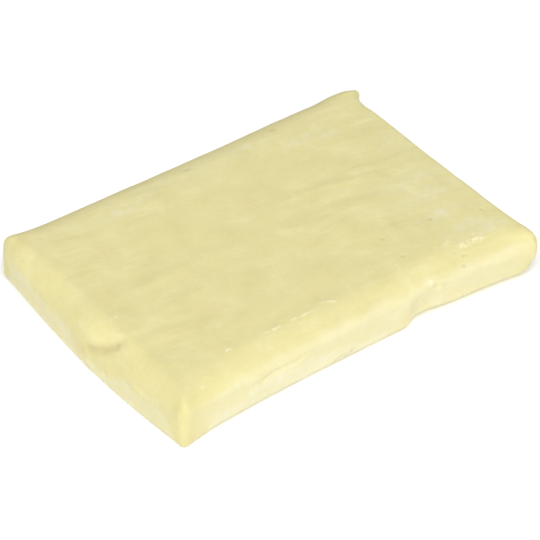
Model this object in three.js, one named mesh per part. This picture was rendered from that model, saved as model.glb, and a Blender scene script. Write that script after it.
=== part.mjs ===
// Clay bar: one slab of soft detailing clay, cut from a sheet and pressed by hand.
//
// Millimetres, +Z up. +X runs along the long sides, from the bulging left end to the right end.
// +Y runs from the rolled front side to the back. The slab lies flat on its underside, and the
// origin is the middle of the box around it, at the height of the underside.
//
// The slab is one body of one material: it has no shell, core, insert or fastener.

import * as THREE from 'three';

// Driving dimensions
const LENGTH = 93; // over everything, left to right
const WIDTH = 66; // over everything, front to back
const THICKNESS = 11.1; // of the pressed slab, without the raised nub at one corner

// How each side rolls over into the top and into the underside: "in" is measured
// across the slab from the side, "down" and "up" along the thickness. swell is how many times
// larger the top roll is at the middle of its side, grow and footGrow how many times larger
// the two rolls are at the right or the back end of it.
const SIDES = {
  front: {
    topIn: 7.6, topDown: 3.2, footIn: 3.1, footUp: 2.0, swell: 1.1, grow: 1.25, footGrow: 1.15,
  },
  back: {
    topIn: 6.5, topDown: 2.4, footIn: 1.5, footUp: 2.0, swell: 1, grow: 1, footGrow: 1,
  },
  left: {
    topIn: 2.4, topDown: 3.2, footIn: 1.7, footUp: 1.3, swell: 2, grow: 1, footGrow: 2,
  },
  right: {
    topIn: 1.7, topDown: 2.0, footIn: 5.0, footUp: 4.5, swell: 1, grow: 1, footGrow: 1,
  },
};
const GROW_FROM = 0.3; // where along a side, from -1 to 1, its rolls start to grow
const FOOT_BAND = 0.2; // share of the thickness up to which the foot roll alone shapes the corners
const TOP_BAND = 0.5; // and above which the top roll alone does
const MIN_WALL = 0.5; // upright band that is always left between a top roll and a foot roll
const SIDE_REACH = 0.3; // distance within which one side's roll outweighs its neighbours'

// The corners
const CORNER = {
  footIn: 1.4, // the front left corner runs out to a small radius at its foot
  topIn: 3.0, // and leans back to a larger one at its top
  frontIn: 4.4, // widest roll that the front right corner takes
  backIn: 1.8, // and the back corners
};
const CORNER_FROM = { left: 0.8, right: 0.8, back: 0.75, pinch: 0.75 }; // where each starts
// The back right corner is nipped up, out over the right end and a little forwards.
const NUB = { rise: 0.6, out: 2.0, forward: 1.2, round: 2.6, radius: 4.2 };

// What hand pressing does to the plain slab
const PRESS_REACH = { left: 10, right: 12, front: 16, back: 14 }; // felt this far from each side
const LEFT_BULGE = 1.7; // the left end swells outwards at its foot
const LEFT_LEAN = 0.4; // and more so towards the front
const BULGE_FADE = 0.6; // share of the bulge that is gone at the top
const FRONT_BOW = 2.75; // the front side is drawn in between its two corners
const BACK_BOW = 0.7; // and so are the back
const RIGHT_BOW = 0.8; // and the right end
const HEEL = { set: 0.6, deep: 6, long: 16 }; // the front left corner is set back a little
const LIP_END = 14; // x where the low front lip stops and the undercut starts
const UNDERCUT = { lift: 0.4, set: 0.9, slope: 2, from: 5, full: 0.5 }; // of the front side's foot
const ARCH = { extra: 0.75, beyond: 4, spread: 5 }; // it is largest just beyond the lip
const BLISTER = { x: -43.5, y: -3, rise: 0.6, radius: 4 }; // soft lump by the left end
const DENT = { x: -36, y: -17, depth: 0.3, radius: 4 }; // thumb dent beside it
const ON_TOP_FROM = 0.6; // share of the thickness above which these two are felt

// Mesh rows of the blank before it is shaped
const ROWS = { x: 40, y: 30, z: 8 };
const ROW_CROWDING = 0.45; // 0 spaces the rows evenly, 1 crowds them towards the edges

const clamp = THREE.MathUtils.clamp;
const lerp = THREE.MathUtils.lerp;

// A smooth step from 0 at `from` to 1 at `to`, in either direction.
function ease(from, to, value) {
  const t = clamp((value - from) / (to - from), 0, 1);
  return t * t * (3 - 2 * t);
}

// A soft round bump, 1 at its centre.
function bump(dx, dy, radius) {
  return Math.exp(-(dx * dx + dy * dy) / (radius * radius));
}

// 1 at the back right corner, where the nub is, falling to 0 round it.
function nearNub(rightGap, backGap) {
  return Math.exp(-(((rightGap ** 2 + backGap ** 2) / NUB.radius ** 2) ** 1.5));
}

// Moves evenly spaced rows towards both ends of -1 to 1, where the rolled edges are.
function crowd(u) {
  return lerp(u, Math.sin((u * Math.PI) / 2), ROW_CROWDING);
}

// One side's rolls at one place along it. run goes from -1 to 1.
function sideRoll(side, run, height) {
  const late = ease(GROW_FROM, 1, run);
  const top = lerp(1, side.swell, 1 - run ** 4) * lerp(1, side.grow, late);
  const foot = lerp(1, side.footGrow, late);
  const toTop = ease(FOOT_BAND, TOP_BAND, height);
  return {
    across: lerp(side.footIn * foot, side.topIn * top, toTop),
    down: side.topDown * top,
    up: side.footUp * foot,
  };
}

// How far in from the front or the back side its roll reaches, once the corners have limited it.
function longSideIn(wide, across, along, height) {
  if (along >= 0) {
    const atBack = ease(CORNER_FROM.back, 1, Math.abs(across));
    return lerp(wide, Math.min(wide, CORNER.backIn), atBack);
  }
  const narrow = Math.min(wide, lerp(CORNER.footIn, CORNER.topIn, height));
  const blunt = Math.min(wide, CORNER.frontIn);
  const atLeft = ease(-CORNER_FROM.left, -1, across);
  const atRight = ease(CORNER_FROM.right, 1, across);
  return lerp(lerp(wide, narrow, atLeft), blunt, atRight);
}

// The rolls at one point, blended from the four sides by how near each one is.
function rollsAt(across, along, height, gaps) {
  const left = sideRoll(SIDES.left, along, height);
  const right = sideRoll(SIDES.right, along, height);
  const front = sideRoll(SIDES.front, across, height);
  const back = sideRoll(SIDES.back, across, height);
  const rolls = [left, right, front, back];
  const weights = gaps.map((gap) => 1 / (SIDE_REACH + Math.max(gap, 0)) ** 2);
  const total = weights.reduce((sum, weight) => sum + weight, 0);
  const blend = (key) => rolls.reduce((sum, roll, i) => sum + roll[key] * weights[i], 0) / total;

  const rounding = NUB.round * nearNub(gaps[1], gaps[3]);
  const inX = (across < 0 ? left : right).across + rounding;
  const inY = longSideIn((along < 0 ? front : back).across, across, along, height) + rounding;

  const pinch = ease(-CORNER_FROM.pinch, -1, across) * ease(-CORNER_FROM.pinch, -1, along);
  const down = blend('down');
  const up = lerp(blend('up'), CORNER.footIn, pinch);
  const fit = Math.min(1, (THICKNESS - MIN_WALL) / (down + up));
  return { inX, inY, down: down * fit, up: up * fit };
}

// Draws a point of the plain box onto its rolled edges: what lies outside the core box is drawn
// onto a quarter ellipsoid round it.
function rollEdges(x, y, z, { inX, inY, down, up }) {
  const core = new THREE.Vector3(
    clamp(x, inX - LENGTH / 2, LENGTH / 2 - inX),
    clamp(y, inY - WIDTH / 2, WIDTH / 2 - inY),
    clamp(z, up, THICKNESS - down),
  );
  const middle = (up + THICKNESS - down) / 2;
  const radii = new THREE.Vector3(inX, inY, z > middle ? down : up);
  const reach = new THREE.Vector3(x, y, z).sub(core).divide(radii);
  const length = reach.length();
  const largest = Math.max(Math.abs(reach.x), Math.abs(reach.y), Math.abs(reach.z));
  if (length > 0) reach.multiplyScalar(largest / length);
  return reach.multiply(radii).add(core);
}

// Presses the sides in and out, and draws the foot of the front side in and up beyond its lip.
function pressSides(point, across, along, height, x, gaps) {
  const [leftGap, rightGap, frontGap, backGap] = gaps;
  const bowX = 1 - across ** 4;
  const bowY = 1 - along ** 2;
  const bulge = LEFT_BULGE * (1 - BULGE_FADE * height) * bowY ** 1.5 * (1 - LEFT_LEAN * along);
  point.x -= ease(PRESS_REACH.left, 0, leftGap) * bulge;
  point.x -= ease(PRESS_REACH.right, 0, rightGap) * RIGHT_BOW * bowY;
  point.y -= ease(PRESS_REACH.back, 0, backGap) * BACK_BOW * bowX;
  point.y += ease(PRESS_REACH.front, 0, frontGap) * FRONT_BOW * bowX;
  point.y += ease(HEEL.deep, 0, frontGap) * ease(HEEL.long, 0, leftGap) * HEEL.set;

  const beyondLip = ease(LIP_END - UNDERCUT.slope, LIP_END + UNDERCUT.slope, x);
  const atFront = ease(UNDERCUT.from, UNDERCUT.full, frontGap);
  const arch = 1 + ARCH.extra * bump(x - LIP_END - ARCH.beyond, 0, ARCH.spread);
  const undercut = arch * (1 - height) * beyondLip * atFront;
  point.y += UNDERCUT.set * undercut;
  point.z += UNDERCUT.lift * undercut;
}

// Where a point of the unit blank ends up on the slab. across and along run from -1 to 1,
// height from 0 to 1.
function shape(across, along, height) {
  const x = (across * LENGTH) / 2;
  const y = (along * WIDTH) / 2;
  const z = height * THICKNESS;
  const gaps = [x + LENGTH / 2, LENGTH / 2 - x, y + WIDTH / 2, WIDTH / 2 - y];
  const point = rollEdges(x, y, z, rollsAt(across, along, height, gaps));
  pressSides(point, across, along, height, x, gaps);

  const nub = nearNub(gaps[1], gaps[3]);
  point.x += NUB.out * nub;
  point.y -= NUB.forward * nub;
  point.z += NUB.rise * nub * height;
  const onTop = ease(ON_TOP_FROM, 1, height);
  point.z += BLISTER.rise * onTop * bump(x - BLISTER.x, y - BLISTER.y, BLISTER.radius);
  point.z -= DENT.depth * onTop * bump(x - DENT.x, y - DENT.y, DENT.radius);
  return point;
}

// A box of LENGTH by WIDTH, crowded towards its edges, shaped, and set on its origin.
function slabGeometry() {
  const geometry = new THREE.BoxGeometry(2, 2, 2, ROWS.x, ROWS.y, ROWS.z);
  const positions = geometry.attributes.position;
  for (let i = 0; i < positions.count; i += 1) {
    const across = crowd(positions.getX(i));
    const along = crowd(positions.getY(i));
    const height = (positions.getZ(i) + 1) / 2;
    const point = shape(across, along, height);
    positions.setXYZ(i, point.x, point.y, point.z);
  }
  geometry.computeBoundingBox();
  const { min, max } = geometry.boundingBox;
  geometry.translate(-(min.x + max.x) / 2, -(min.y + max.y) / 2, -min.z);
  geometry.scale(LENGTH / (max.x - min.x), WIDTH / (max.y - min.y), 1);
  geometry.computeVertexNormals();
  return geometry;
}

function claySlab() {
  const clay = new THREE.MeshStandardMaterial({ color: 0xe4daa2, roughness: 0.55, metalness: 0 });
  const mesh = new THREE.Mesh(slabGeometry(), clay);
  mesh.name = 'clay_slab';
  return mesh;
}

const clayBar = new THREE.Group();
clayBar.name = 'clay_bar';
clayBar.add(claySlab());

export default clayBar;
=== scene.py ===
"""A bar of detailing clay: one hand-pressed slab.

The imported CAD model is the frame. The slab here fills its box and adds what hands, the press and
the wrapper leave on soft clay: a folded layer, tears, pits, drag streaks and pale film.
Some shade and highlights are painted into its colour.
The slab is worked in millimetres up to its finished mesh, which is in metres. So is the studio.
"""

import logging
import math
from dataclasses import dataclass
from enum import Enum, IntEnum
from typing import ClassVar, Mapping, Sequence, Union

import bpy
import numpy as np
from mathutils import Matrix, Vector


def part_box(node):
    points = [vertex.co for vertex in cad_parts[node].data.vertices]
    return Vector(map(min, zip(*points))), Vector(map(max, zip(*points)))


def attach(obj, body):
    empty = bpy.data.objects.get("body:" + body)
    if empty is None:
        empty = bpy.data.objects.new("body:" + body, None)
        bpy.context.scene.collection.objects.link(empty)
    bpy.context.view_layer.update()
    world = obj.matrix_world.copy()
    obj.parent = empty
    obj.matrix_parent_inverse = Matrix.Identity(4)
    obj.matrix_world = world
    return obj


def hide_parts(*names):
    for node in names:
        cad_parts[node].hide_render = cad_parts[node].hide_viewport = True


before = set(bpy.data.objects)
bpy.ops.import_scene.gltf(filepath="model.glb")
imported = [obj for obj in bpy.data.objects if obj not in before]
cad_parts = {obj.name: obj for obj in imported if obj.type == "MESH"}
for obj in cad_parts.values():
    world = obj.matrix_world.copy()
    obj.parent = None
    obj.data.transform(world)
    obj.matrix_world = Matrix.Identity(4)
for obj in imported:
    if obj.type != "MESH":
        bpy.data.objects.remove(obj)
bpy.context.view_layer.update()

LOG = logging.getLogger("clay_bar")
MM = 0.001
NODE = "clay_slab"
BODY = "root"
NOISE_ROUGHNESS = 0.55
WHITE = (1.0, 1.0, 1.0, 1.0)

Array = np.ndarray
Colour = tuple[float, float, float, float]
Point = tuple[float, float, float]
Value = Union[float, int, bool, Sequence[float], "Sock", bpy.types.NodeSocket, bpy.types.ID]


# ---------------------------------------------------------------- small maths


def paint(red: int, green: int, blue: int) -> Colour:
    """Turns a display colour from 0 to 255 into the linear colour that shaders use.

    Args:
        red: Red, from 0 to 255.
        green: Green, from 0 to 255.
        blue: Blue, from 0 to 255.

    Returns:
        The linear colour with an alpha of 1.
    """
    channels = []
    for value in (red, green, blue):
        share = value / 255
        channels.append(share / 12.92 if share <= 0.04045 else ((share + 0.055) / 1.055) ** 2.4)
    return (channels[0], channels[1], channels[2], 1.0)


def ease(start: float, stop: float, value: Array) -> Array:
    """A smooth step from 0 at start to 1 at stop, in either direction.

    Args:
        start: Where the step is still 0.
        stop: Where it has reached 1.
        value: The values to look up.

    Returns:
        The step, from 0 to 1.
    """
    share = np.clip((value - start) / (stop - start), 0.0, 1.0)
    return share * share * (3.0 - 2.0 * share)


def mix(low: Array | float, high: Array | float, share: Array | float) -> Array:
    """The value that lies share of the way from low to high."""
    return low * (1.0 - share) + high * share


def ragged(points: Array, wavelength: float, seed: int, waves: int = 8) -> Array:
    """A smooth random field, mostly between -1 and 1, that gives a line or an edge its wander.

    Args:
        points: Points, one a row, in millimetres.
        wavelength: The usual distance between two crests, in millimetres.
        seed: Picks the field.
        waves: How many plane waves it is summed from.

    Returns:
        One value a point.
    """
    rng = np.random.default_rng(seed)
    shortest, longest = 0.6, 1.6  # of the waves, as shares of the wavelength
    total = np.zeros(len(points))
    for _ in range(waves):
        way = rng.normal(size=3)
        way /= np.linalg.norm(way)
        pace = math.tau / (wavelength * rng.uniform(shortest, longest))
        total += np.sin(points @ way * pace + rng.uniform(0.0, math.tau))
    return total / math.sqrt(waves)


def path_distance(points: Array, path: Sequence[Point]) -> tuple[Array, Array]:
    """How far each point is from a path of straight runs.

    Args:
        points: Points, one a row.
        path: The path's corners, at least two.

    Returns:
        The distance, and the share of the path's length at which the nearest point lies.
    """
    corners = np.asarray(path, dtype=float)
    runs = np.diff(corners, axis=0)
    lengths = np.linalg.norm(runs, axis=1)
    done = np.concatenate([[0.0], np.cumsum(lengths)])
    best = np.full(len(points), np.inf)
    share = np.zeros(len(points))
    for start, run, length, before in zip(corners[:-1], runs, lengths, done[:-1]):
        along = np.clip((points - start) @ run / length**2, 0.0, 1.0)
        gap = np.linalg.norm(points - start - along[:, None] * run, axis=1)
        nearer = gap < best
        best[nearer] = gap[nearer]
        share[nearer] = ((before + along * length) / done[-1])[nearer]
    return best, share


# ---------------------------------------------------------------- node building


class Sock:
    """A node's output on which Python arithmetic adds Math nodes."""

    def __init__(self, nodes: "Nodes", socket: bpy.types.NodeSocket) -> None:
        """Wraps one output socket of the tree that nodes builds."""
        self.nodes = nodes
        self.socket = socket

    def _math(self, operation: str, first: Value, second: Value = 0.0) -> "Sock":
        """Adds one Math node and returns its result."""
        node = self.nodes.add("ShaderNodeMath", {"operation": operation}, {0: first, 1: second})
        return Sock(self.nodes, node.outputs[0])

    def __add__(self, other: Value) -> "Sock":
        """self + other"""
        return self._math("ADD", self, other)

    __radd__ = __add__

    def __sub__(self, other: Value) -> "Sock":
        """self - other"""
        return self._math("SUBTRACT", self, other)

    def __rsub__(self, other: Value) -> "Sock":
        """other - self"""
        return self._math("SUBTRACT", other, self)

    def __mul__(self, other: Value) -> "Sock":
        """self * other"""
        return self._math("MULTIPLY", self, other)

    __rmul__ = __mul__

    def __truediv__(self, other: Value) -> "Sock":
        """self / other"""
        return self._math("DIVIDE", self, other)

    def __rtruediv__(self, other: Value) -> "Sock":
        """other / self"""
        return self._math("DIVIDE", other, self)

    def step(self, start: float, stop: float) -> "Sock":
        """A smooth step of this value from 0 at start to 1 at stop."""
        node = self.nodes.add(
            "ShaderNodeMapRange",
            {"interpolation_type": "SMOOTHSTEP"},
            {"Value": self, "From Min": start, "From Max": stop, "To Min": 0.0, "To Max": 1.0},
        )
        return Sock(self.nodes, node.outputs[0])


class Nodes:
    """Adds nodes to one tree, and links or sets their inputs."""

    def __init__(self, tree: bpy.types.NodeTree) -> None:
        """Starts from an empty tree."""
        tree.nodes.clear()
        self.tree = tree

    def add(
        self,
        kind: str,
        settings: Mapping[str, object] | None = None,
        inputs: Mapping[Union[str, int], Value] | None = None,
    ) -> bpy.types.Node:
        """Adds a node.

        Args:
            kind: The node's type name.
            settings: The node's own properties, set before its inputs.
            inputs: A value or a link for each input, by its name or its place.

        Returns:
            The new node.
        """
        node = self.tree.nodes.new(kind)
        for name, value in (settings or {}).items():
            setattr(node, name, value)
        for key, value in (inputs or {}).items():
            target = node.inputs[key]
            if isinstance(value, Sock):
                self.tree.links.new(value.socket, target)
            elif isinstance(value, bpy.types.NodeSocket):
                self.tree.links.new(value, target)
            else:
                target.default_value = value
        return node

    def out(
        self,
        kind: str,
        settings: Mapping[str, object] | None = None,
        inputs: Mapping[Union[str, int], Value] | None = None,
        output: Union[str, int] = 0,
    ) -> Sock:
        """Adds a node as add does, and returns one of its outputs."""
        return Sock(self, self.add(kind, settings, inputs).outputs[output])

    def blend(self, low: Value, high: Value, share: Value) -> Sock:
        """Mixes two colours, low where share is 0 and high where it is 1."""
        settings = {"data_type": "RGBA", "clamp_factor": True}
        return self.out("ShaderNodeMix", settings, {0: share, 6: low, 7: high}, output=2)

    def noise(self, place: Value, scale: float, detail: float = 2.0, seed: float = 0.0) -> Sock:
        """Noise from 0 to 1 at a place, with scale crests for each unit of the place.

        Args:
            place: Where the noise is read.
            scale: Crests for each unit of the place.
            detail: How many finer layers are added.
            seed: Picks the pattern.

        Returns:
            Noise from 0 to 1.
        """
        settings = {"noise_dimensions": "4D"}
        inputs = {"Vector": place, "W": seed, "Scale": scale, "Detail": detail}
        inputs["Roughness"] = NOISE_ROUGHNESS
        return self.out("ShaderNodeTexNoise", settings, inputs)

    def vector(self, operation: str, first: Value, second: Value) -> Sock:
        """Adds one Vector Math node. The second input is a number where the vector is scaled."""
        inputs = {0: first, "Scale" if operation == "SCALE" else 1: second}
        return self.out("ShaderNodeVectorMath", {"operation": operation}, inputs)


# ---------------------------------------------------------------- finishes


class Axis(IntEnum):
    """The column of an array of points that holds each coordinate."""

    X = 0
    Y = 1
    Z = 2


class Mark(Enum):
    """What the shaping leaves on each point of the slab for the finish to read."""

    FILM = "film"
    TORN_AND_HIGHLIGHT = "torn_and_highlight"
    STAIN_AND_SHADE = "stain_and_shade"
    FREE = "free"


@dataclass(frozen=True)
class ClayFinish:
    """Soft waxy clay: warm yellow, dragged into streaks, with pale bloom, fresh tears, painted
    shade and painted highlights.
    """

    name: str = "yellow_clay"
    plain: Colour = paint(226, 217, 159)
    deep: Colour = paint(214, 204, 144)
    pale: Colour = paint(239, 231, 182)
    film: Colour = paint(233, 229, 203)
    # fresh torn clay, and painted highlights on the left end and the right ledge
    torn_and_highlight: Colour = paint(252, 248, 222)
    # soil spots, and painted shade in the crease under the lump and along the back edge
    stain_and_shade: Colour = paint(190, 172, 118)
    roughness: float = 0.42
    ior: float = 1.46
    specular: float = 0.22
    scatter: float = 0.3  # share of the light that goes into the clay
    scatter_reach: Point = (1.0, 0.75, 0.35)  # of red, green and blue, times scatter_depth
    scatter_depth: float = 1.0 * MM
    relief_strength: float = 0.35
    relief_depth: float = 0.35 * MM
    streak_turn: float = -7.0  # degrees from +X in which the clay was dragged
    bend: float = 9.0 * MM  # how far the streaks wander
    bend_scale: float = 55.0  # crests of that wander in a metre

    def build(self) -> bpy.types.Material:
        """Makes the material.

        Returns:
            The finished material.
        """
        material = bpy.data.materials.new(self.name)
        material.use_nodes = True
        nodes = Nodes(material.node_tree)
        place = self._bent(nodes, nodes.out("ShaderNodeTexCoord", output="Object"))
        streaks = self._dragged(nodes, place, length=15.0, width=2.0, seed=3.0)
        hairs = self._dragged(nodes, place, length=6.0, width=0.6, seed=8.0)
        clouds = nodes.noise(place, scale=48.0, seed=1.0)
        blotches = nodes.noise(place, scale=170.0, detail=3.0, seed=14.0)
        grain = nodes.noise(place, scale=1400.0, detail=3.0, seed=5.0)
        patches = self._dragged(nodes, place, length=6.0, width=3.2, seed=12.0)
        runs = self._stretched(nodes, place, (1.1, 1.1, 5.0), turn=0.0, seed=23.0)

        dragged = clouds.step(0.36, 0.62)
        # A pattern, the tone that it brings, the values where the tone starts and is full, and
        # how much of it there is.
        tones = (
            (streaks, self.deep, 0.5, 0.8, dragged * 0.62),
            (streaks, self.pale, 0.48, 0.2, dragged * 0.52),
            (blotches, self.deep, 0.5, 0.76, 0.45),
            (blotches, self.pale, 0.5, 0.26, 0.42),
            (hairs, self.pale, 0.6, 0.8, 0.4),
            (grain, self.deep, 0.5, 0.8, 0.3),
        )
        colour: Value = self.plain
        for pattern, tone, start, full, amount in tones:
            colour = nodes.blend(colour, tone, pattern.step(start, full) * amount)
        in_patches = patches.step(0.36, 0.64) * 0.25 + 0.55
        film = self._mark(nodes, Mark.FILM) * (runs * 0.9 + 0.55) * in_patches
        colour = nodes.blend(colour, self.film, film)
        # soil spots, and the painted shade in the crease and on the back edge
        colour = nodes.blend(colour, self.stain_and_shade, self._mark(nodes, Mark.STAIN_AND_SHADE) * 0.6)
        # pale torn edges, and painted highlights
        colour = nodes.blend(colour, self.torn_and_highlight, self._mark(nodes, Mark.TORN_AND_HIGHLIGHT))

        height = streaks * 0.4 + hairs * 0.3 + grain * 0.15 + blotches * 0.9 + patches * 0.4
        relief = {"Strength": self.relief_strength, "Distance": self.relief_depth}
        shader = nodes.add(
            "ShaderNodeBsdfPrincipled",
            {"subsurface_method": "RANDOM_WALK"},
            {
                "Base Color": colour,
                "Roughness": film * 0.14 + streaks * 0.10 + grain * 0.06 + self.roughness,
                "Normal": nodes.out("ShaderNodeBump", None, {**relief, "Height": height}),
                "IOR": self.ior,
                "Subsurface Weight": self.scatter,
                "Subsurface Radius": self.scatter_reach,
                "Subsurface Scale": self.scatter_depth,
                "Specular IOR Level": self.specular,
            },
        )
        nodes.add("ShaderNodeOutputMaterial", None, {"Surface": shader.outputs["BSDF"]})
        return material

    def _dragged(self, nodes: Nodes, place: Sock, length: float, width: float, seed: float) -> Sock:
        """Noise drawn out along the direction in which the clay was dragged.

        Args:
            nodes: The material's nodes.
            place: Object coordinates, in metres.
            length: How long a streak is, in millimetres.
            width: How wide a streak is, in millimetres.
            seed: Picks the pattern.

        Returns:
            Noise from 0 to 1.
        """
        return self._stretched(nodes, place, (length, width, width), self.streak_turn, seed)

    @staticmethod
    def _stretched(nodes: Nodes, place: Sock, size: Point, turn: float, seed: float) -> Sock:
        """Noise whose features have a size along three axes turned about +Z.

        Args:
            nodes: The material's nodes.
            place: Object coordinates, in metres.
            size: The size of a feature along each axis, in millimetres.
            turn: How far the axes are turned, in degrees.
            seed: Picks the pattern.

        Returns:
            Noise from 0 to 1.
        """
        metres = tuple(side * MM for side in size)
        inputs = {"Vector": place, "Rotation": (0.0, 0.0, math.radians(turn)), "Scale": metres}
        stretched = nodes.out("ShaderNodeMapping", {"vector_type": "TEXTURE"}, inputs)
        return nodes.noise(stretched, scale=1.0, detail=3.0, seed=seed)

    def _bent(self, nodes: Nodes, place: Sock) -> Sock:
        """Pushes the place about a little, so that streaks bend and run into each other.

        Args:
            nodes: The nodes to add to.
            place: Object coordinates, in metres.

        Returns:
            The shifted place.
        """
        settings = {"noise_dimensions": "4D"}
        inputs = {"Vector": place, "W": 31.0, "Scale": self.bend_scale, "Detail": 1.0}
        sway = nodes.out("ShaderNodeTexNoise", settings, inputs, output="Color")
        centred = nodes.vector("SUBTRACT", sway, (0.5, 0.5, 0.5))
        return nodes.vector("ADD", place, nodes.vector("SCALE", centred, self.bend))

    @staticmethod
    def _mark(nodes: Nodes, mark: Mark) -> Sock:
        """Reads one of the marks that the shaping left on the slab."""
        return nodes.out("ShaderNodeAttribute", {"attribute_name": mark.value}, output="Fac")


@dataclass(frozen=True)
class FloorFinish:
    """Matt white studio board."""

    name: str = "white_board"
    white: Colour = paint(250, 250, 250)
    grey: Colour = paint(247, 247, 247)
    fibre_scale: float = 40.0  # fibres in a metre
    roughness: float = 0.9
    specular: float = 0.1
    glow: float = 0.14  # keeps the shade at the slab's foot thin

    def build(self) -> bpy.types.Material:
        """Makes the material.

        Returns:
            The finished material.
        """
        material = bpy.data.materials.new(self.name)
        material.use_nodes = True
        nodes = Nodes(material.node_tree)
        place = nodes.out("ShaderNodeTexCoord", output="Object")
        fibre = nodes.noise(place, scale=self.fibre_scale, detail=3.0, seed=4.0)
        shader = nodes.add(
            "ShaderNodeBsdfPrincipled",
            None,
            {
                "Base Color": nodes.blend(self.white, self.grey, fibre),
                "Roughness": self.roughness,
                "Specular IOR Level": self.specular,
                "Emission Color": WHITE,
                "Emission Strength": self.glow,
            },
        )
        nodes.add("ShaderNodeOutputMaterial", None, {"Surface": shader.outputs["BSDF"]})
        return material


# ---------------------------------------------------------------- marks of handling, painted shade and highlights


@dataclass
class Skin:
    """The slab's points while it is worked: where each one lay, lies and faces, and its marks."""

    rest: Array
    points: Array
    normals: Array
    marks: dict[Mark, Array]

    def push(self, amount: Array) -> None:
        """Moves the points along their normals, by an amount in millimetres each."""
        self.points += (amount * self.marks[Mark.FREE])[:, None] * self.normals

    def tint(self, mark: Mark, amount: Array) -> None:
        """Raises a mark to amount where it is lower."""
        self.marks[mark] = np.maximum(self.marks[mark], np.clip(amount, 0.0, 1.0))

    def away(self, centre: Point, reach: Point) -> Array:
        """Each point's distance from the centre, squared, where 1 is at the reach."""
        return (((self.rest - np.asarray(centre)) / np.asarray(reach)) ** 2).sum(axis=1)


@dataclass(frozen=True)
class Mound:
    """A soft swelling, or with a negative rise a dent."""

    centre: Point
    reach: Point
    rise: float

    def work(self, skin: Skin) -> None:
        """Raises the skin round the centre."""
        skin.push(self.rise * np.exp(-skin.away(self.centre, self.reach)))


@dataclass(frozen=True)
class Furrow:
    """A groove along a path, or with a negative depth a ridge. It thins out at both ends."""

    path: tuple[Point, ...]
    width: float
    depth: float
    wander: float = 0.15
    torn_and_highlight: float = 0.0
    # painted shade: how much the trough is darkened, as in the crease under the lump
    darkening: float = 0.0
    seed: int = 1
    winding: float = 2.5  # length of the line's wander
    thin_for: float = 0.15  # share of the path over which an end thins out
    end_depth: float = 0.35  # share of the depth that is left at the very end

    def work(self, skin: Skin) -> None:
        """Presses the furrow into the skin, marks it as torn, and paints shade into its trough, if
        asked to.

        Args:
            skin: The slab's skin, which is changed in place.
        """
        gap, share = path_distance(skin.rest, self.path)
        gap = np.abs(gap + self.wander * ragged(skin.rest, self.winding, self.seed))
        ends = ease(0.0, self.thin_for, share) * ease(1.0, 1.0 - self.thin_for, share)
        trough = np.exp(-((gap / self.width) ** 2)) * mix(self.end_depth, 1.0, ends)
        skin.push(-self.depth * trough)
        skin.tint(Mark.TORN_AND_HIGHLIGHT, self.torn_and_highlight * trough)
        # painted shade in the trough, laid with the stain colour
        skin.tint(Mark.STAIN_AND_SHADE, self.darkening * trough)


@dataclass(frozen=True)
class Pit:
    """A small hole where a bubble or a grain came out."""

    centre: Point
    radius: float
    depth: float
    darkening: float = 0.45

    def work(self, skin: Skin) -> None:
        """Sinks the skin and darkens it a little.

        Args:
            skin: The slab's skin, which is changed in place.
        """
        away = np.linalg.norm(skin.rest - np.asarray(self.centre), axis=1) / self.radius
        hole = np.exp(-(away**3))
        skin.push(-self.depth * hole)
        skin.tint(Mark.STAIN_AND_SHADE, self.darkening * hole)


@dataclass(frozen=True)
class Bloom:
    """A patch of pale film that the wrapper left."""

    centre: Point
    reach: Point
    amount: float
    patch: float = 2.2  # length over which the film comes and goes
    seed: int = 41

    def work(self, skin: Skin) -> None:
        """Marks the skin with film.

        Args:
            skin: The slab's skin, which is changed in place.
        """
        patchy = 1.0 + 0.5 * ragged(skin.rest, self.patch, self.seed)
        cover = np.exp(-skin.away(self.centre, self.reach))
        skin.tint(Mark.FILM, self.amount * patchy * cover)


@dataclass(frozen=True)
class SoilAndShade:
    """A small patch of darker, dirtier clay. The long band along the back edge is painted shade."""

    centre: Point
    reach: Point
    amount: float

    def work(self, skin: Skin) -> None:
        """Marks the skin with the stain colour: real soil, and painted shade on the back edge."""
        skin.tint(Mark.STAIN_AND_SHADE, self.amount * np.exp(-skin.away(self.centre, self.reach)))


@dataclass(frozen=True)
class TearAndHighlight:
    """A short lifted flake of skin: a narrow ridge, steep on one side, with a pale broken edge.
    Some of them are painted highlights.
    """

    path: tuple[Point, ...]
    width: float
    rise: float
    torn_and_highlight: float
    seed: int = 3
    raggedness: float = 0.35  # how far the edge strays, as a share of the width
    notch: float = 0.9  # length of one stray of the edge
    bit: float = 1.3  # length over which the edge is broken or whole

    def work(self, skin: Skin) -> None:
        """Lifts the flake and marks its edge as torn, which in some places is a painted highlight.

        Args:
            skin: The slab's skin, which is changed in place.
        """
        gap, _ = path_distance(skin.rest, self.path)
        stray = self.raggedness * self.width * ragged(skin.rest, self.notch, self.seed)
        crest = np.exp(-((np.abs(gap + stray) / self.width) ** 2))
        skin.push(self.rise * crest)
        broken = ease(-0.9, 0.5, ragged(skin.rest, self.bit, self.seed + 1))
        # pale edge: torn clay, and in some places a painted highlight
        skin.tint(Mark.TORN_AND_HIGHLIGHT, self.torn_and_highlight * crest * broken)


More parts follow.
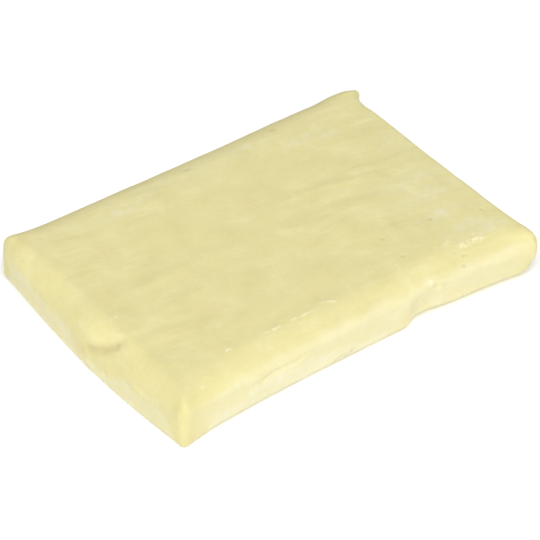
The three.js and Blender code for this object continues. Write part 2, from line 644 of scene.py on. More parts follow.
@dataclass(frozen=True)
class Gouge:
    """A shallow scrape with a flat, pale floor and a faint raised rim."""

    centre: Point
    reach: Point
    depth: float
    film: float = 0.6
    seed: int = 21
    raggedness: float = 0.16  # how far the edge strays, as a share of the reach
    notch: float = 1.6  # length of one stray of the edge
    rim: float = 0.25  # height of the rim, as a share of the depth
    rim_at: float = 1.15  # where it stands, as a share of the reach
    rim_width: float = 0.2

    def work(self, skin: Skin) -> None:
        """Scrapes the skin away and turns up its rim.

        Args:
            skin: The slab's skin, which is changed in place.
        """
        stray = self.raggedness * ragged(skin.rest, self.notch, self.seed)
        edge = np.sqrt(skin.away(self.centre, self.reach)) + stray
        skin.push(-self.depth * ease(1.05, 0.75, edge))
        raised = np.exp(-(((edge - self.rim_at) / self.rim_width) ** 2))
        skin.push(self.rim * self.depth * raised)
        skin.tint(Mark.FILM, self.film * ease(1.4, 0.7, edge))


@dataclass(frozen=True)
class Lip:
    """Where one layer of clay ends on another: it stands proud on one side of a wandering line.

    The line is a list of stations along one axis with the edge's place on another axis.
    """

    along: Axis  # the axis that the stations lie on
    across: Axis  # the axis that the edge's place is measured on
    line: tuple[tuple[float, float], ...]
    proud_below: bool
    facing: Point  # only skin that faces this way is worked
    rise: float
    fade: float  # how far from the edge the layer thins out to nothing
    crease: float = 0.0
    torn_and_highlight: float = 0.0
    film_below: float = 0.0
    wander: float = 0.2
    run_out: float = 4.0  # how gently the layer ends at the first and the last station
    seed: int = 7
    sways: tuple[tuple[float, float], ...] = ((0.7, 5.0), (0.3, 1.4))  # shares and lengths
    edge: tuple[float, float] = (-0.35, 0.45)  # from outside the line to inside, the step up
    crease_at: float = -0.45
    crease_width: float = 0.4
    torn_at: float = 0.15
    torn_width: float = 0.3

    def work(self, skin: Skin) -> None:
        """Raises the layer, presses the crease beside its edge, and marks both.

        Args:
            skin: The slab's skin, which is changed in place.
        """
        stations, places = np.array(self.line).T
        here = skin.rest[:, self.along]
        sway = sum(
            share * ragged(skin.rest, length, self.seed + number)
            for number, (share, length) in enumerate(self.sways)
        )
        below = np.interp(here, stations, places) + self.wander * sway - skin.rest[:, self.across]
        inside = below if self.proud_below else -below
        start, stop = stations[0], stations[-1]
        ends = ease(start, start + self.run_out, here) * ease(stop, stop - self.run_out, here)
        there = ends * ease(0.3, 0.7, skin.normals @ np.asarray(self.facing))
        layer = ease(*self.edge, inside) * ease(self.fade, 0.2 * self.fade, inside)
        skin.push(self.rise * layer * there)
        creased = np.exp(-(((inside - self.crease_at) / self.crease_width) ** 2))
        skin.push(-self.crease * creased * there)
        torn_and_highlight = np.exp(-(((inside - self.torn_at) / self.torn_width) ** 2))
        skin.tint(Mark.TORN_AND_HIGHLIGHT, self.torn_and_highlight * torn_and_highlight * there)
        skin.tint(Mark.FILM, self.film_below * ease(-0.5, 1.2, below) * there)


Work = Union[Mound, Furrow, Pit, Bloom, SoilAndShade, TearAndHighlight, Gouge, Lip]


# ---------------------------------------------------------------- the slab


@dataclass(frozen=True)
class Roll:
    """How one side rolls over: in, across the slab from the side, and down or up its thickness."""

    top_in: float
    top_down: float
    foot_in: float
    foot_up: float
    swell: float = 1.0  # how many times larger the top roll is at the middle of the side
    grow: float = 1.0  # how many times larger it is at the right or the back end of the side
    foot_grow: float = 1.0  # and the foot roll
    grow_from: float = 0.3  # where along the side, from -1 to 1, both start to grow

    def top_scale(self, run: Array) -> Array:
        """How many times larger the top roll is at run, from -1 to 1 along the side."""
        late = ease(self.grow_from, 1.0, run)
        return mix(1.0, self.swell, 1.0 - run**4) * mix(1.0, self.grow, late)

    def foot_scale(self, run: Array) -> Array:
        """How many times larger the foot roll is at run."""
        return mix(1.0, self.foot_grow, ease(self.grow_from, 1.0, run))


@dataclass(frozen=True)
class Lattice:
    """The rows of points laid over the blank before it is shaped."""

    across: int = 264
    along: int = 192
    height: int = 28
    crowding: float = 0.45  # 0 spaces the rows evenly, 1 crowds them towards the edges
    rim: int = 16  # rows of fine faces on the underside, inside which it is coarse
    block: int = 4  # fine rows in each coarse face

    def crowd(self, even: Array) -> Array:
        """Moves evenly spaced rows towards both ends of -1 to 1, where the rolled edges are."""
        return mix(even, np.sin(even * math.pi / 2), self.crowding)

    def key(self, i: Array | int, j: Array | int, k: Array | int) -> Array:
        """One number for each lattice point."""
        return (i * (self.along + 1) + j) * (self.height + 1) + k

    def fine_faces(self) -> Array:
        """The four-sided faces of the top, the sides and the underside's rim, facing outwards.

        Returns:
            The four point numbers of each face, one face a row.
        """
        rows = (self.across, self.along, self.height)
        # The order of a face's corners: True turns one way round its wall, False the other.
        rings = {True: ((0, 0), (1, 0), (1, 1), (0, 1)), False: ((0, 0), (0, 1), (1, 1), (1, 0))}
        walls = []
        top, underside = (Axis.Z, True), (Axis.Z, False)
        sides = ((Axis.Y, False), (Axis.Y, True), (Axis.X, True), (Axis.X, False))
        for axis, far in (top, underside, *sides):
            one, other = (turn for turn in Axis if turn != axis)
            grid = np.meshgrid(np.arange(rows[one]), np.arange(rows[other]), indexing="ij")
            first, second = grid[0].ravel(), grid[1].ravel()
            if (axis, far) == underside:
                outer = (first < self.rim) | (first >= rows[one] - self.rim)
                outer |= (second < self.rim) | (second >= rows[other] - self.rim)
                first, second = first[outer], second[outer]
            corners = []
            for a, b in rings[far != (axis == Axis.Y)]:
                spot = {one: first + a, other: second + b, axis: rows[axis] if far else 0}
                corners.append(self.key(spot[Axis.X], spot[Axis.Y], spot[Axis.Z]))
            walls.append(np.stack(corners, axis=1))
        return np.concatenate(walls)

    def coarse_faces(self) -> list[list[int]]:
        """The faces inside the underside's rim. Those beside the rim take in each of its points.

        Returns:
            The point numbers of each face.
        """
        step, rim = self.block, self.rim
        starts_x = range(rim, self.across - rim, step)
        starts_y = range(rim, self.along - rim, step)
        faces = []
        for x in starts_x:
            for y in starts_y:
                left = range(y, y + step, 1 if x == starts_x[0] else step)
                back = range(x, x + step, 1 if y == starts_y[-1] else step)
                right = range(y + step, y, -1 if x == starts_x[-1] else -step)
                front = range(x + step, x, -1 if y == starts_y[0] else -step)
                ring = [(x, j) for j in left] + [(i, y + step) for i in back]
                ring += [(x + step, j) for j in right] + [(i, y) for i in front]
                faces.append([int(self.key(i, j, 0)) for i, j in ring])
        return faces


@dataclass(frozen=True)
class SlabForm:
    """The pressed slab's shape, before the marks of handling. Its rule is the CAD model's."""

    length: float = 93.0
    width: float = 66.0
    thickness: float = 11.1
    front: Roll = Roll(7.6, 3.2, 3.1, 2.0, swell=1.1, grow=1.25, foot_grow=1.15)
    back: Roll = Roll(6.5, 2.4, 1.5, 2.0)
    left: Roll = Roll(2.4, 3.2, 1.7, 1.3, swell=2.0, foot_grow=2.0)
    right: Roll = Roll(1.7, 2.0, 5.0, 4.5)
    min_wall: float = 0.5  # upright band that is always left between the two rolls of a side
    side_reach: float = 0.3  # distance within which one side's rolls outweigh its neighbours'
    foot_band: float = 0.2  # share of the thickness below which the foot roll shapes the corners
    top_band: float = 0.5  # and above which the top roll does
    left_press: float = 10.0  # how far from each side its pressing is felt
    right_press: float = 12.0
    front_press: float = 16.0
    back_press: float = 14.0
    left_bulge: float = 1.7
    left_skew: float = 0.4  # how much more the left end bulges towards the front
    bulge_fade: float = 0.6  # share of the bulge that is gone at the top
    front_bow: float = 2.75
    back_bow: float = 0.7
    right_bow: float = 0.8
    heel_set: float = 0.6  # how far the front left corner is set back
    heel_deep: float = 6.0
    heel_long: float = 16.0
    lip_end: float = 14.0  # where along x the low front lip stops and the undercut starts
    lip_slope: float = 2.0
    foot_lift: float = 0.4
    foot_set: float = 0.9
    foot_press: tuple[float, float] = (5.0, 0.5)  # where the undercut starts and is full
    arch: float = 0.75  # how much larger the undercut is just beyond the lip's end
    arch_beyond: float = 4.0
    arch_spread: float = 5.0
    corner_from: float = 0.8  # where along the front side its corners start, from -1 to 1
    back_from: float = 0.75  # and those of the back side, and the pinched foot
    corner_foot_in: float = 1.4  # the front left corner is small at its foot
    corner_top_in: float = 3.0  # and larger at its top
    front_corner_in: float = 4.4  # the widest roll that the front right corner takes
    back_corner_in: float = 1.8  # and the back corners
    nub_rise: float = 0.6
    nub_out: float = 2.0
    nub_forward: float = 1.2
    nub_radius: float = 4.2
    nub_round: float = 2.6

    def near_nub(self, gaps: Sequence[Array]) -> Array:
        """1 at the back right corner, where the nub is, falling to 0 round it."""
        return np.exp(-(((gaps[1] ** 2 + gaps[3] ** 2) / self.nub_radius**2) ** 1.5))

    def rolls(self, unit: Array, gaps: Sequence[Array]) -> tuple[Array, Array, Array, Array]:
        """The rolls at each point, blended from the four sides by how near each one is.

        Args:
            unit: Points of the unit blank.
            gaps: The distances to the left, right, front and back sides.

        Returns:
            How far in the rolls go along x and y, and how far down and up.
        """
        s, t, h = unit.T
        weights = np.stack([1.0 / (self.side_reach + np.maximum(gap, 0.0)) ** 2 for gap in gaps])
        weights /= weights.sum(axis=0)
        to_top = ease(self.foot_band, self.top_band, h)
        down, up, inward = np.zeros(len(s)), np.zeros(len(s)), []
        sides = (self.left, self.right, self.front, self.back)
        for side, run, weight in zip(sides, (t, t, s, s), weights):
            top, foot = side.top_scale(run), side.foot_scale(run)
            down += side.top_down * top * weight
            up += side.foot_up * foot * weight
            inward.append(mix(side.foot_in * foot, side.top_in * top, to_top))
        rounding = self.nub_round * self.near_nub(gaps)
        in_x = np.where(s < 0, inward[0], inward[1]) + rounding
        in_y = self._long_side_in(unit, np.where(t < 0, inward[2], inward[3])) + rounding
        pinch = ease(-self.back_from, -1.0, s) * ease(-self.back_from, -1.0, t)
        up = mix(up, self.corner_foot_in, pinch)
        fit = np.minimum(1.0, (self.thickness - self.min_wall) / (down + up))
        return in_x, in_y, down * fit, up * fit

    def _long_side_in(self, unit: Array, wide: Array) -> Array:
        """How far in the long sides' rolls reach, once the corners have limited them.

        Args:
            unit: Points of the unit blank.
            wide: How far in the rolls would go otherwise.

        Returns:
            How far in they go along y.
        """
        s, t, h = unit.T
        narrow = np.minimum(wide, mix(self.corner_foot_in, self.corner_top_in, h))
        at_left = ease(-self.corner_from, -1.0, s)
        held = np.where(t < 0, mix(wide, narrow, at_left), wide)
        blunt = np.minimum(held, np.where(t < 0, self.front_corner_in, self.back_corner_in))
        at_back = ease(self.back_from, 1.0, np.abs(s))
        return mix(held, blunt, np.where(t < 0, ease(self.corner_from, 1.0, s), at_back))

    def shape(self, unit: Array) -> Array:
        """Where the points of the unit blank end up.

        What lies outside the core of the plain box is drawn onto a quarter ellipsoid round it.
        Then the sides are pressed and the corner is nipped up.

        Args:
            unit: Points with x and y from -1 to 1 and z from 0 to 1.

        Returns:
            The points in millimetres, before they are set into the CAD box.
        """
        half = np.array([self.length / 2, self.width / 2])
        place = unit.T * np.array([[half[0]], [half[1]], [self.thickness]])
        gaps = (place[0] + half[0], half[0] - place[0], place[1] + half[1], half[1] - place[1])
        in_x, in_y, down, up = self.rolls(unit, gaps)
        core = np.stack([
            np.clip(place[0], in_x - half[0], half[0] - in_x),
            np.clip(place[1], in_y - half[1], half[1] - in_y),
            np.clip(place[2], up, self.thickness - down),
        ])
        middle = 0.5 * (up + self.thickness - down)
        radii = np.stack([in_x, in_y, np.where(place[2] > middle, down, up)])
        reach = (place - core) / radii
        length = np.linalg.norm(reach, axis=0)
        largest = np.abs(reach).max(axis=0)
        reach *= np.where(length > 0, largest / np.maximum(length, 1e-9), 1.0)
        points = reach * radii + core
        self._press(points, unit, place[0], gaps)
        return points.T.copy()

    def _press(self, points: Array, unit: Array, across: Array, gaps: Sequence[Array]) -> None:
        """Presses the sides in and out, undercuts the front and nips up the corner.

        Args:
            points: The rolled points, one a column. They are moved in place.
            unit: The same points on the unit blank, one a row.
            across: Where each lay along x on the plain box.
            gaps: The distances to the left, right, front and back sides.
        """
        s, t, h = unit.T
        x, y, z = points
        bow_x, bow_y = 1.0 - s**4, 1.0 - t**2
        bulge = bow_y**1.5 * (1.0 - self.left_skew * t) * (1.0 - self.bulge_fade * h)
        x -= ease(self.left_press, 0.0, gaps[0]) * self.left_bulge * bulge
        x -= ease(self.right_press, 0.0, gaps[1]) * self.right_bow * bow_y
        y -= ease(self.back_press, 0.0, gaps[3]) * self.back_bow * bow_x
        y += ease(self.front_press, 0.0, gaps[2]) * self.front_bow * bow_x
        heel = ease(self.heel_deep, 0.0, gaps[2]) * ease(self.heel_long, 0.0, gaps[0])
        y += heel * self.heel_set

        beyond = across - self.lip_end
        arch = np.exp(-(((beyond - self.arch_beyond) / self.arch_spread) ** 2))
        undercut = ease(-self.lip_slope, self.lip_slope, beyond) * ease(*self.foot_press, gaps[2])
        undercut *= (1.0 + self.arch * arch) * (1.0 - h)
        y += self.foot_set * undercut
        z += self.foot_lift * undercut

        nub = self.near_nub(gaps)
        x += self.nub_out * nub
        y -= self.nub_forward * nub
        z += self.nub_rise * nub * h


@dataclass(frozen=True)
class Relief:
    """The unevenness that kneading and dragging leave all over the slab, as a node tree."""

    SIZES: ClassVar[tuple[str, ...]] = (
        "Wave Height", "Wave Length", "Streak Height", "Streak Length", "Streak Width",
        "Streak Turn", "Seed",
    )
    wave_height: float = 0.28 * MM
    wave_length: float = 17.0 * MM
    streak_height: float = 0.08 * MM
    streak_length: float = 15.0 * MM
    streak_width: float = 3.0 * MM
    streak_turn: float = -7.0
    seed: float = 11.0

    def tree(self) -> bpy.types.NodeTree:
        """Builds the node tree.

        Returns:
            A Geometry Nodes tree that moves each free point along its normal.
        """
        tree = bpy.data.node_groups.new("clay_relief", "GeometryNodeTree")
        kinds = {"Geometry": "Geometry", **dict.fromkeys(self.SIZES, "Float"), "Finish": "Material"}
        for name, kind in kinds.items():
            tree.interface.new_socket(name, in_out="INPUT", socket_type=f"NodeSocket{kind}")
        tree.interface.new_socket("Geometry", in_out="OUTPUT", socket_type="NodeSocketGeometry")
        nodes = Nodes(tree)
        given = nodes.add("NodeGroupInput")
        ask = {socket.name: Sock(nodes, socket) for socket in given.outputs if socket.name}
        place = nodes.out("GeometryNodeInputPosition")
        normal = nodes.out("GeometryNodeInputNormal")
        as_float, free_mark = {"data_type": "FLOAT"}, {"Name": Mark.FREE.value}
        free = nodes.out("GeometryNodeInputNamedAttribute", as_float, free_mark, "Attribute")
        seed, wide, long = ask["Seed"], ask["Streak Width"], ask["Streak Length"]
        waves = self._noise(nodes, place, ask["Wave Length"], ask["Wave Length"], seed, 1.0)
        turn = {"Vector": place, "Angle": ask["Streak Turn"]}
        turned = nodes.out("ShaderNodeVectorRotate", {"rotation_type": "Z_AXIS"}, turn)
        streaks = self._noise(nodes, turned, long, wide, seed + 5.0, 2.0)
        lift = (waves - 0.5) * ask["Wave Height"] * 2.0
        lift = lift + (streaks - 0.5) * ask["Streak Height"] * 2.0
        moved = {"Geometry": ask["Geometry"], "Offset": nodes.vector("SCALE", normal, lift * free)}
        surface = nodes.out("GeometryNodeSetPosition", None, moved)
        joined = nodes.out("GeometryNodeRealizeInstances", None, {"Geometry": surface})
        dress = {"Geometry": joined, "Material": ask["Finish"]}
        dressed = nodes.out("GeometryNodeSetMaterial", None, dress)
        nodes.add("NodeGroupOutput", None, {"Geometry": dressed})
        return tree

    @staticmethod
    def _noise(
        nodes: Nodes, place: Sock, length: Sock, width: Sock, seed: Sock, detail: float
    ) -> Sock:
        """Noise from 0 to 1 with features of a length along x and a width across it.

        Args:
            nodes: The nodes to add to.
            place: Where the noise is read, in metres.
            length: Length of a feature.
            width: Width of a feature.
            seed: Picks the pattern.
            detail: How many finer layers are added.

        Returns:
            Noise from 0 to 1.
        """
        sides = {"X": 1.0 / length, "Y": 1.0 / width, "Z": 1.0 / width}
        pace = nodes.out("ShaderNodeCombineXYZ", None, sides)
        return nodes.noise(nodes.vector("MULTIPLY", place, pace), 1.0, detail, seed)

    def settings(self, finish: bpy.types.Material) -> dict[str, Value]:
        """A value for each of the tree's named inputs."""
        sizes = (
            self.wave_height,
            self.wave_length,
            self.streak_height,
            self.streak_length,
            self.streak_width,
            math.radians(-self.streak_turn),
            self.seed,
        )
        return {**dict(zip(self.SIZES, sizes)), "Finish": finish}


def apply_tree(
    piece: bpy.types.Object, tree: bpy.types.NodeTree, settings: Mapping[str, Value]
) -> None:
    """Runs a Geometry Nodes tree on a piece and keeps the result as its plain mesh.

    Args:
        piece: The object to work on.
        tree: The Geometry Nodes tree.
        settings: A value for each of the tree's named inputs.
    """
    modifier = piece.modifiers.new(tree.name, "NODES")
    modifier.node_group = tree
    for item in tree.interface.items_tree:
        if item.item_type == "SOCKET" and item.in_out == "INPUT" and item.name in settings:
            modifier[item.identifier] = settings[item.name]
    depsgraph = bpy.context.evaluated_depsgraph_get()
    mesh = bpy.data.meshes.new_from_object(
        piece.evaluated_get(depsgraph), preserve_all_data_layers=True, depsgraph=depsgraph
    )
    piece.modifiers.remove(modifier)
    plain = piece.data
    piece.data = mesh
    bpy.data.meshes.remove(plain)
    mesh.name = piece.name


def add_object(name: str, data: bpy.types.ID) -> bpy.types.Object:
    """Links a new object at the origin, unturned and unscaled.

    Args:
        name: The object's name.
        data: Its mesh, light or camera.

    Returns:
        The new object.
    """
    added = bpy.data.objects.new(name, data)
    bpy.context.scene.collection.objects.link(added)
    return added


@dataclass
class ClaySlab:
    """The one solid piece: its form, the marks of handling and its finish."""

    form: SlabForm = SlabForm()
    lattice: Lattice = Lattice()
    relief: Relief = Relief()
    finish: ClayFinish = ClayFinish()
    name: str = "pressed_slab"
    held_below: tuple[float, float] = (0.15, 1.2)  # heights between which the skin comes free
    held_facing: tuple[float, float] = (-0.97, -0.6)  # and how steeply down it still faces
    top: float = 11.37  # height of the flat top, which the marks on it need

    def build(self) -> bpy.types.Object:
        """Makes the slab and puts it in the CAD model's place.

        Returns:
            The finished piece.
        """
        mesh = self._blank()
        skin = self._skin(mesh)
        for work in self.handling():
            work.work(skin)
        self._write(mesh, skin)
        piece = add_object(self.name, mesh)
        apply_tree(piece, self.relief.tree(), self.relief.settings(self.finish.build()))
        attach(piece, BODY)
        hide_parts(NODE)
        LOG.info("%s: %d faces", piece.name, len(piece.data.polygons))
        return piece

    def _blank(self) -> bpy.types.Mesh:
        """The shaped lattice, set into the CAD box, in millimetres.

        Returns:
            The mesh.
        """
        lattice = self.lattice
        fine = lattice.fine_faces()
        coarse = lattice.coarse_faces()
        keys = np.unique(np.concatenate([fine.ravel(), *(np.array(face) for face in coarse)]))
        k = keys % (lattice.height + 1)
        j = keys // (lattice.height + 1) % (lattice.along + 1)
        i = keys // ((lattice.height + 1) * (lattice.along + 1))
        unit = np.stack([
            lattice.crowd(2.0 * i / lattice.across - 1.0),
            lattice.crowd(2.0 * j / lattice.along - 1.0),
            k / lattice.height,
        ], axis=1)
        points = self._into_box(self.form.shape(unit))
        faces = np.searchsorted(keys, fine).tolist()
        faces += [np.searchsorted(keys, np.array(face)).tolist() for face in coarse]
        mesh = bpy.data.meshes.new(self.name)
        mesh.from_pydata(points.tolist(), [], faces)
        mesh.polygons.foreach_set("use_smooth", np.ones(len(faces), dtype=bool))
        mesh.update()
        return mesh

    @staticmethod
    def _into_box(points: Array) -> Array:
        """Moves and stretches the points so that they fill the CAD node's box.

        Args:
            points: Points in millimetres, one a row.

        Returns:
            The moved points.
        """
        low, high = (np.array(corner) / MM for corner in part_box(NODE))
        least, most = points.min(axis=0), points.max(axis=0)
        return low + (points - least) * (high - low) / (most - least)

    def _skin(self, mesh: bpy.types.Mesh) -> Skin:
        """Reads the mesh's points and normals. The underside is held down on the surface.

        Args:
            mesh: The shaped lattice.

        Returns:
            The skin, with no marks on it yet.
        """
        count = len(mesh.vertices)
        points = np.empty(count * 3)
        mesh.vertices.foreach_get("co", points)
        normals = np.empty(count * 3)
        mesh.vertex_normals.foreach_get("vector", normals)
        points, normals = points.reshape(-1, 3), normals.reshape(-1, 3)
        marks = {mark: np.zeros(count) for mark in Mark}
        marks[Mark.FREE] = ease(*self.held_below, points[:, 2])
        marks[Mark.FREE] *= ease(*self.held_facing, normals[:, 2])
        return Skin(points.copy(), points, normals, marks)

    @staticmethod
    def _write(mesh: bpy.types.Mesh, skin: Skin) -> None:
        """Writes the worked points, in metres, and the marks back to the mesh.

        Args:
            mesh: The shaped lattice.
            skin: Its worked skin.
        """
        mesh.vertices.foreach_set("co", (skin.points * MM).ravel())
        for mark, amount in skin.marks.items():
            layer = mesh.attributes.new(mark.value, "FLOAT", "POINT")
            layer.data.foreach_set("value", amount)
        mesh.update()

    def handling(self) -> list[Work]:
        """The marks of handling, with some painted shade and highlights, in the order in which they
        are made. Millimetres.
        """
        groups = (
            self._left_end(), self._corners(), self._front_side(), self._top(), self._blooms()
        )
        return [work for group in groups for work in group]

    @staticmethod
    def _left_end() -> list[Work]:
        """The fold pushed over the left end, its crease with painted shade, and the skin dragged
        down that end, with a painted highlight.

        Returns:
            The works, in the order in which they are made.
        """
        skin_edge = (
            (-31.5, 0.5), (-29.4, 2.8), (-27.5, 5.9), (-25.1, 6.6), (-20.5, 4.9), (-17.4, 5.3),
            (-14.1, 5.9), (-9.9, 4.0), (-6.7, 3.3), (-0.7, 3.1), (2.2, 4.0), (5.1, 5.6),
            (8.8, 6.1), (12.9, 5.6), (21.0, 6.8), (30.0, 7.6),
        )
        crease = (
            (-45.6, -0.7, 5.2), (-45.4, -3.6, 6.2), (-45.0, -6.0, 7.6), (-43.9, -8.0, 9.2),
            (-42.6, -9.0, 10.5),
        )
        valley = (
            (-42.3, -9.7, 10.7), (-40.6, -10.1, 11.0), (-34.2, -10.7, 11.2), (-26.0, -12.8, 11.2)
        )
        ridge = ((-36.5, -7.6, 11.3), (-29.5, -6.2, 11.2), (-21.2, -5.5, 11.2))
        scratch = ((-44.7, 3.6, 7.9), (-44.8, 2.2, 7.8), (-44.9, 0.2, 7.7))
        flake = ((-42.8, -2.7, 10.5), (-41.5, -3.1, 11.2), (-39.8, -3.0, 11.4))
        drag = ((-45.3, -17.0, 6.2), (-45.2, -20.5, 6.0), (-44.9, -24.8, 7.0))
        return [
            Lip(
                Axis.Y, Axis.Z, skin_edge, False, (-1.0, 0.0, 0.0),
                rise=0.06, fade=4.0, film_below=0.5, wander=0.5, run_out=2.0,
            ),
            Mound((-44.9, 0.4, 8.5), (3.6, 4.9, 3.8), 0.95),
            # the crease under the lump; its dark band is painted shade
            Furrow(crease, 1.0, 0.95, wander=0.05, darkening=0.9),
            Furrow(valley, 1.2, 0.15),
            Furrow(ridge, 1.5, -0.12),
            Furrow(scratch, 0.4, 0.35, wander=0.1),
            TearAndHighlight(flake, 0.28, 0.1, torn_and_highlight=0.5),
            # painted highlight: a white streak where the low left edge catches the light
            TearAndHighlight(((-45.9, -1.1, 2.5), (-45.9, -3.6, 2.4)), 0.55, 0.15, torn_and_highlight=0.75),
            Pit((-45.8, -8.0, 3.3), 0.8, 0.35),
            Gouge((-45.4, -15.5, 4.9), (1.0, 1.3, 0.8), 0.2),
            Mound((-37.5, -16.0, 11.2), (4.5, 2.6, 5.0), -0.3),
            TearAndHighlight(drag, 0.6, 0.08, torn_and_highlight=0.22),
        ]

    @staticmethod
    def _corners() -> list[Work]:
        """The dips beside the nub, the worn and filled corners, painted shade along the back edge,
        and soiled spots.
        """
        return [
            Mound((36.5, 32.0, 11.0), (3.6, 2.4, 4.0), -0.25),
            Mound((-45.6, 31.4, 10.0), (2.2, 2.2, 3.0), -0.6),
            Mound((46.0, -31.0, 7.0), (4.0, 4.0, 4.5), 0.5),
            Mound((45.4, 24.5, 11.0), (2.4, 3.2, 4.0), -0.5),
            # painted shade: the back edge rolls away from the light, and this band darkens its
            # colour
            SoilAndShade((0.0, 32.6, 9.8), (80.0, 2.6, 4.0), 0.45),
            SoilAndShade((-42.3, 28.4, 11.0), (2.4, 1.6, 3.0), 0.35),
            SoilAndShade((22.1, 28.6, 11.3), (0.8, 0.6, 1.0), 0.7),
            SoilAndShade((-0.8, 27.9, 11.3), (1.0, 0.6, 1.0), 0.7),
        ]

    @staticmethod
    def _front_side() -> list[Work]:
        """The layer folded over the lower front side, its film, the scrape and the torn foot.

        Returns:
            The works, in the order in which they are made.
        """
        crack = (
            (-28.5, 5.4), (-26.0, 6.0), (-24.2, 6.4), (-21.5, 6.3), (-19.0, 6.7), (-16.0, 6.6),
            (-12.0, 7.1),
        )
        smear = (
            (-43.5, 0.2), (-42.2, 1.0), (-38.5, 3.2), (-35.3, 4.7), (-30.6, 4.5), (-27.0, 5.3),
            (-24.0, 6.2), (-16.0, 6.6), (-8.0, 5.6), (0.0, 4.4), (8.0, 3.4), (15.0, 2.4),
        )
        veil = ((-47.0, 8.8), (-30.0, 9.8), (0.0, 10.2), (50.0, 10.2))
        on_front = (Axis.X, Axis.Z)
        forwards = (0.0, -1.0, 0.0)
        pits = (
            ((17.6, -30.2, 8.3), 0.4, 0.25), ((19.8, -30.5, 8.4), 0.4, 0.25),
            ((-5.9, -31.0, 1.5), 0.5, 0.4), ((-4.6, -31.0, 2.0), 0.45, 0.35),
            ((-3.4, -31.0, 1.5), 0.5, 0.35), ((-2.0, -31.0, 2.2), 0.45, 0.35),
            ((28.9, -28.1, 10.7), 0.35, 0.4), ((27.6, -29.8, 9.5), 0.35, 0.4),
        )
        return [
            Lip(
                *on_front, crack, True, forwards,
                rise=0.18, fade=5.0, crease=0.22, torn_and_highlight=0.1, wander=0.9, run_out=3.0, seed=5,
            ),
            Lip(
                *on_front, smear, True, forwards,
                rise=0.05, fade=6.0, film_below=0.9, wander=0.6, run_out=9.0, seed=5,
            ),
            Lip(
                *on_front, veil, True, forwards,
                rise=0.05, fade=9.0, film_below=0.5, wander=0.5, run_out=14.0, seed=17,
            ),
            Gouge((20.0, -30.5, 8.0), (1.9, 2.0, 0.7), 0.2, film=0.12),
            TearAndHighlight(((18.2, -29.7, 9.7), (19.0, -29.9, 9.5)), 0.45, 0.1, torn_and_highlight=0.6),
            Mound((4.0, -31.0, 1.0), (13.0, 3.0, 4.0), -0.35),
            *(Pit(*pit) for pit in pits),
            TearAndHighlight(((-37.9, -29.5, 10.8), (-37.3, -29.6, 10.7)), 0.3, 0.1, torn_and_highlight=0.4),
        ]

    def _on_top(self, *path: tuple[float, float]) -> tuple[Point, ...]:
        """Puts a path that is given from above on the flat top."""
        return tuple((x, y, self.top) for x, y in path)

    def _top(self) -> list[Work]:
        """The tears along the line where the front side rolls down, the pits behind it, and painted
        highlights on the right ledge.

        Returns:
            The works, in the order in which they are made.
        """
        flakes = (
            ((-28.3, -24.3), (-27.3, -24.3)), ((-18.8, -24.3), (-18.4, -24.4)),
            ((-17.0, -24.5), (-15.4, -24.5)), ((-12.3, -24.5), (-11.3, -24.4)),
            ((-9.9, -24.6), (-8.2, -24.4), (-7.0, -24.4)),
            ((-4.7, -23.7), (-3.4, -23.9), (-1.8, -25.0)), ((-25.2, -17.2), (-24.9, -17.1)),
        )
        ledge = (
            (26.5, -24.4), (28.8, -25.5), (30.0, -26.4), (31.5, -26.9), (32.8, -26.3),
            (34.2, -26.4), (36.2, -27.0), (38.5, -26.4),
        )
        # torn bits on the ledge; their bright white is a painted highlight where the broken face
        # turns to the light
        ledge_tears_and_highlights = (
            ((29.5, -25.9), (31.4, -26.3), 0.5, 0.05, 0.85, 51),
            ((33.6, -26.1), (34.4, -26.3), 0.7, 0.1, 0.95, 54),
            ((34.6, -26.5), (35.8, -27.0), 0.35, 0.05, 0.5, 53),
        )
        curl = ((29.0, -21.1), (28.8, -23.1), (26.7, -24.3))
        pits = (
            ((33.6, -25.2), 0.4, 0.18), ((27.4, -26.8), 0.45, 0.15), ((18.1, -14.8), 0.4, 0.25),
            ((17.9, -21.7), 0.4, 0.25), ((30.2, -15.3), 0.5, 0.25), ((40.8, -19.3), 0.4, 0.25),
        )
        return [
            *(
                TearAndHighlight(self._on_top(*path), 0.26, 0.12, torn_and_highlight=0.55, seed=30 + number)
                for number, path in enumerate(flakes)
            ),
            Lip(
                Axis.X, Axis.Y, ledge, False, (0.0, 0.0, 1.0),
                rise=0.05, fade=5.0, crease=0.03, wander=0.3, run_out=2.5, seed=9,
            ),
            *(
                TearAndHighlight(self._on_top(start, stop), width, rise, torn_and_highlight, seed)
                for start, stop, width, rise, torn_and_highlight, seed in ledge_tears_and_highlights
            ),
            *(Pit((*place, self.top), radius, depth) for place, radius, depth in pits),
            Furrow(self._on_top(*curl), 0.4, -0.09, torn_and_highlight=0.15),
            Furrow(self._on_top((5.5, 7.3), (18.8, 6.2), (29.8, 3.0)), 1.1, -0.12),
            Furrow(self._on_top((-35.8, 1.5), (-15.9, 1.9), (-2.0, 0.2)), 1.6, -0.12),
            Furrow(self._on_top((2.0, 2.0), (16.0, 1.4), (27.0, -1.5)), 1.2, 0.12),
        ]

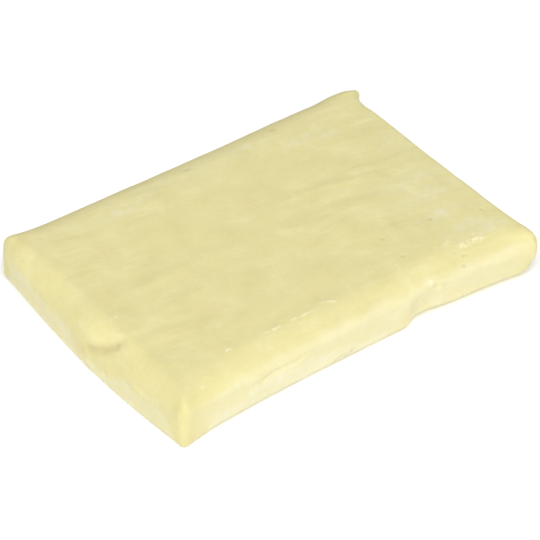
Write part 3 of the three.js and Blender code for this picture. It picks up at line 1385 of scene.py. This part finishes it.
    @staticmethod
    def _blooms() -> list[Work]:
        """Patches of pale film, most of them towards the right end.

        Returns:
            The works, in the order in which they are made.
        """
        height, depth = 11.3, 3.0
        places = (
            ((32.8, -15.2), (5.0, 2.4), 0.4), ((34.5, -8.5), (6.5, 2.8), 0.38),
            ((35.1, -21.8), (4.0, 2.4), 0.4), ((37.9, -24.2), (3.6, 1.5), 0.65),
            ((36.0, -3.0), (8.0, 2.6), 0.32), ((25.0, 22.3), (5.0, 1.4), 0.5),
            ((31.2, 20.4), (2.4, 1.0), 0.6), ((12.6, 27.3), (2.5, 0.9), 0.45),
            ((-20.4, 24.3), (4.0, 1.6), 0.45), ((-14.3, 25.4), (3.4, 1.3), 0.4),
            ((40.5, 10.0), (4.0, 9.0), 0.2), ((0.0, 26.0), (40.0, 3.0), 0.18),
        )
        return [
            Bloom((*centre, height), (*reach, depth), amount) for centre, reach, amount in places
        ]


@dataclass(frozen=True)
class Softbox:
    """A soft light that faces the slab. Degrees, metres and watts."""

    name: str
    azimuth: float
    elevation: float
    distance: float
    side: float
    power: float

    def build(self) -> bpy.types.Object:
        """Places the light on its stand.

        Returns:
            The light.
        """
        data = bpy.data.lights.new(self.name, "AREA")
        data.shape = "SQUARE"
        data.size = self.side
        data.energy = self.power
        light = add_object(self.name, data)
        light.location = heading(self.azimuth, self.elevation) * self.distance
        light.rotation_euler = (-light.location).to_track_quat("-Z", "Y").to_euler()
        return light


def heading(azimuth: float, elevation: float) -> Vector:
    """The direction from the slab to something at an azimuth and elevation, in degrees.

    Args:
        azimuth: Degrees from straight in front, towards the right.
        elevation: Degrees above the board.

    Returns:
        A direction of length 1.
    """
    turn, rise = math.radians(azimuth), math.radians(elevation)
    level = math.cos(rise)
    return Vector((math.sin(turn) * level, -math.cos(turn) * level, math.sin(rise)))


@dataclass
class Studio:
    """The white board, the lights and the camera."""

    floor_side: float = 3.0
    sky: float = 0.425
    sky_fall: float = 0.10  # how much weaker the sky is straight behind, and stronger in front
    camera_azimuth: float = -36.5
    camera_elevation: float = 39.4
    camera_distance: float = 0.6255
    camera_lens: float = 200.5
    camera_film: float = 36.0
    aim: tuple[float, float, float] = (0.75 * MM, 0.58 * MM, 1.28 * MM)
    lights: tuple[Softbox, ...] = (
        Softbox("key", azimuth=-36.0, elevation=55.5, distance=1.2, side=0.7, power=11.75),
    )

    def build(self) -> None:
        """Makes the studio."""
        self._floor()
        self._world()
        for light in self.lights:
            light.build()
        self._camera()
        bpy.context.scene.view_settings.view_transform = "Standard"
        LOG.info("studio: %d light(s)", len(self.lights))

    def _floor(self) -> None:
        """The board that the slab lies on."""
        half = self.floor_side / 2
        mesh = bpy.data.meshes.new("floor")
        corners = [(-half, -half, 0.0), (half, -half, 0.0), (half, half, 0.0), (-half, half, 0.0)]
        mesh.from_pydata(corners, [], [(0, 1, 2, 3)])
        mesh.materials.append(FloorFinish().build())
        add_object("floor", mesh)

    def _world(self) -> None:
        """White light from all round, a little weaker from behind."""
        world = bpy.data.worlds.new("studio")
        world.use_nodes = True
        nodes = Nodes(world.node_tree)
        direction = nodes.out("ShaderNodeTexCoord", output="Generated")
        behind = nodes.add("ShaderNodeSeparateXYZ", None, {0: direction}).outputs["Y"]
        strength = Sock(nodes, behind) * -self.sky_fall + self.sky
        light = nodes.add("ShaderNodeBackground", None, {"Color": WHITE, "Strength": strength})
        nodes.add("ShaderNodeOutputWorld", None, {"Surface": light.outputs[0]})
        bpy.context.scene.world = world

    def _camera(self) -> None:
        """The camera, aimed just above the middle of the slab."""
        data = bpy.data.cameras.new("camera")
        data.lens = self.camera_lens
        data.sensor_width = self.camera_film
        camera = add_object("camera", data)
        back = heading(self.camera_azimuth, self.camera_elevation)
        camera.location = Vector(self.aim) + back * self.camera_distance
        camera.rotation_euler = back.to_track_quat("Z", "Y").to_euler()
        bpy.context.scene.camera = camera


def main() -> None:
    """Builds the clay bar in its studio."""
    logging.basicConfig(level=logging.INFO, format="%(name)s: %(message)s")
    Studio().build()
    ClaySlab().build()
    bpy.context.view_layer.update()


if __name__ == "__main__":
    main()
